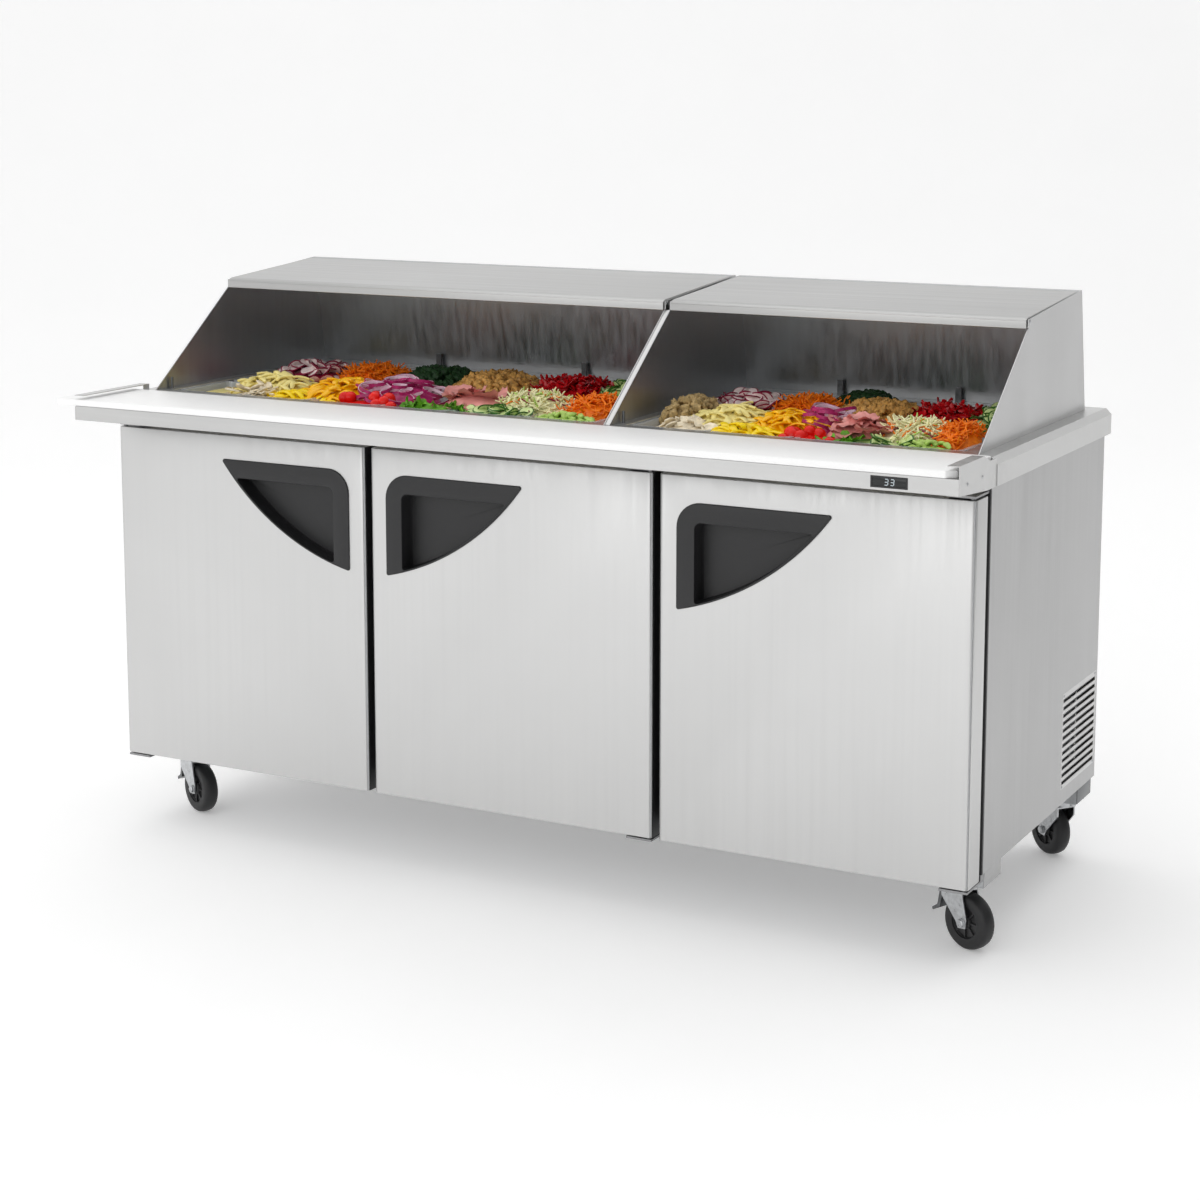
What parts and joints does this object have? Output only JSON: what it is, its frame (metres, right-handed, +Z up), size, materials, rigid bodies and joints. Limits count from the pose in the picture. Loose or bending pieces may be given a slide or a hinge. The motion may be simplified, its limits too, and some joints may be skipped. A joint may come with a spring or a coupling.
{
  "type": "sandwich prep table",
  "caption": "Refrigerated prep table: a cabinet with hinged doors on casters, a front cutting board, and wells of food pans under hoods with folding lids.",
  "frame": {"origin": "on the floor, under the middle of the bounding box", "axes": "+X to the right as seen from the front, +Y to the back, +Z up"},
  "size_m": [1.891, 0.864, 1.13],
  "materials": {
    "brushed_steel": "satin",
    "galvanised_steel": "satin",
    "liner_aluminium": "satin",
    "insulation": "matte",
    "door_inner": "satin",
    "black_plastic": "satin",
    "gasket": "matte",
    "board_plastic": "satin",
    "display_lens": "gloss",
    "clear_pan": "gloss",
    "food": "satin",
    "coated_wire": "satin",
    "fins": "satin",
    "copper": "satin",
    "black_enamel": "satin",
    "fan_blade": "satin",
    "zinc": "satin",
    "wheel_rubber": "matte"
  },
  "bodies": {
    "cabinet": {"cabinet_shell": "brushed_steel", "front_frame": "brushed_steel", "side_louvre_panel": "brushed_steel", "rear_grille": "brushed_steel", "counter_top": "brushed_steel", "work_apron": "brushed_steel", "board_brackets": "brushed_steel", "hood_left": "brushed_steel", "hood_right": "brushed_steel", "hinge_brackets": "brushed_steel", "pan_well": "brushed_steel", "adapter_bars": "brushed_steel", "shelf_supports": "brushed_steel", "hood_clips": "brushed_steel", "base_channels": "galvanised_steel", "control_box": "galvanised_steel", "cabinet_liner": "liner_aluminium", "evaporator_cover": "liner_aluminium", "foam_insulation": "insulation", "display_housing": "black_plastic", "power_inlet": "black_plastic", "display_lens": "display_lens", "food_pans": "clear_pan", "food_fill": "food", "wire_shelves": "coated_wire", "evaporator_coil": "fins", "condenser_coil": "fins", "refrigerant_lines": "copper", "compressor": "black_enamel", "fan_motors": "black_enamel", "caster_plates": "zinc", "screws": "zinc", "lid_pivot_screws": "zinc"},
    "left_door": {"door_left_skin": "brushed_steel", "door_left_core": "door_inner", "door_left_gasket": "gasket", "door_left_handle": "black_plastic"},
    "middle_door": {"door_middle_skin": "brushed_steel", "door_middle_core": "door_inner", "door_middle_gasket": "gasket", "door_middle_handle": "black_plastic"},
    "right_door": {"door_right_skin": "brushed_steel", "door_right_core": "door_inner", "door_right_gasket": "gasket", "door_right_handle": "black_plastic"},
    "left_lid": {"lid_left": "brushed_steel"},
    "right_lid": {"lid_right": "brushed_steel"},
    "board": {"cutting_board": "board_plastic"},
    "caster_front_left": {"caster_fork_front_left": "zinc"},
    "wheel_front_left": {"caster_wheel_front_left": "wheel_rubber"},
    "pedal_front_left": {"caster_pedal_front_left": "black_enamel"},
    "caster_front_right": {"caster_fork_front_right": "zinc"},
    "wheel_front_right": {"caster_wheel_front_right": "wheel_rubber"},
    "pedal_front_right": {"caster_pedal_front_right": "black_enamel"},
    "caster_rear_left": {"caster_fork_rear_left": "zinc"},
    "wheel_rear_left": {"caster_wheel_rear_left": "wheel_rubber"},
    "caster_rear_right": {"caster_fork_rear_right": "zinc"},
    "wheel_rear_right": {"caster_wheel_rear_right": "wheel_rubber"},
    "blower_fan": {"evaporator_blade": "fan_blade"},
    "cooling_fan": {"condenser_blade": "fan_blade"}
  },
  "joints": [
    {"name": "left_door_hinge", "type": "hinge", "parent": "cabinet", "child": "left_door", "pos_m": [-0.877, -0.302, 0.49], "axis": [0, 0, -1], "range_deg": [0, 110]},
    {"name": "middle_door_hinge", "type": "hinge", "parent": "cabinet", "child": "middle_door", "pos_m": [0.3155, -0.302, 0.49], "axis": [0, 0, 1], "range_deg": [0, 90]},
    {"name": "right_door_hinge", "type": "hinge", "parent": "cabinet", "child": "right_door", "pos_m": [0.923, -0.302, 0.49], "axis": [0, 0, 1], "range_deg": [0, 110]},
    {"name": "left_lid_hinge", "type": "hinge", "parent": "cabinet", "child": "left_lid", "pos_m": [-0.339, 0.033, 1.098], "axis": [1, 0, 0], "range_deg": [0, 213.2]},
    {"name": "right_lid_hinge", "type": "hinge", "parent": "cabinet", "child": "right_lid", "pos_m": [0.548, 0.033, 1.098], "axis": [1, 0, 0], "range_deg": [0, 213.2]},
    {"name": "board_slide", "type": "slide", "parent": "cabinet", "child": "board", "axis": [1, 0, 0], "range_m": [-0.3, 0.007]},
    {"name": "front_left_swivel", "type": "hinge", "parent": "cabinet", "child": "caster_front_left", "pos_m": [-0.824, -0.175, 0.115], "axis": [0, 0, 1], "continuous": true},
    {"name": "front_left_wheel_spin", "type": "hinge", "parent": "caster_front_left", "child": "wheel_front_left", "pos_m": [-0.80025, -0.18557, 0.051], "axis": [0.4067, 0.9135, 0], "continuous": true},
    {"name": "front_left_brake", "type": "hinge", "parent": "caster_front_left", "child": "pedal_front_left", "pos_m": [-0.83679, -0.16931, 0.097], "axis": [-0.4067, -0.9135, 0], "range_deg": [0, 12]},
    {"name": "front_right_swivel", "type": "hinge", "parent": "cabinet", "child": "caster_front_right", "pos_m": [0.87, -0.175, 0.115], "axis": [0, 0, 1], "continuous": true},
    {"name": "front_right_wheel_spin", "type": "hinge", "parent": "caster_front_right", "child": "wheel_front_right", "pos_m": [0.89375, -0.18557, 0.051], "axis": [0.4067, 0.9135, 0], "continuous": true},
    {"name": "front_right_brake", "type": "hinge", "parent": "caster_front_right", "child": "pedal_front_right", "pos_m": [0.85721, -0.16931, 0.097], "axis": [-0.4067, -0.9135, 0], "range_deg": [0, 12]},
    {"name": "rear_left_swivel", "type": "hinge", "parent": "cabinet", "child": "caster_rear_left", "pos_m": [-0.835, 0.374, 0.115], "axis": [0, 0, 1], "continuous": true},
    {"name": "rear_left_wheel_spin", "type": "hinge", "parent": "caster_rear_left", "child": "wheel_rear_left", "pos_m": [-0.85576, 0.38965, 0.051], "axis": [-0.6018, -0.7986, 0], "continuous": true},
    {"name": "rear_right_swivel", "type": "hinge", "parent": "cabinet", "child": "caster_rear_right", "pos_m": [0.881, 0.374, 0.115], "axis": [0, 0, 1], "continuous": true},
    {"name": "rear_right_wheel_spin", "type": "hinge", "parent": "caster_rear_right", "child": "wheel_rear_right", "pos_m": [0.86023, 0.38965, 0.051], "axis": [-0.6018, -0.7986, 0], "continuous": true},
    {"name": "blower_spin", "type": "hinge", "parent": "cabinet", "child": "blower_fan", "pos_m": [0.583, 0.253, 0.575], "axis": [0, 1, 0], "continuous": true},
    {"name": "cooler_spin", "type": "hinge", "parent": "cabinet", "child": "cooling_fan", "pos_m": [0.723, 0.357, 0.272], "axis": [0, 1, 0], "continuous": true}
  ]
}
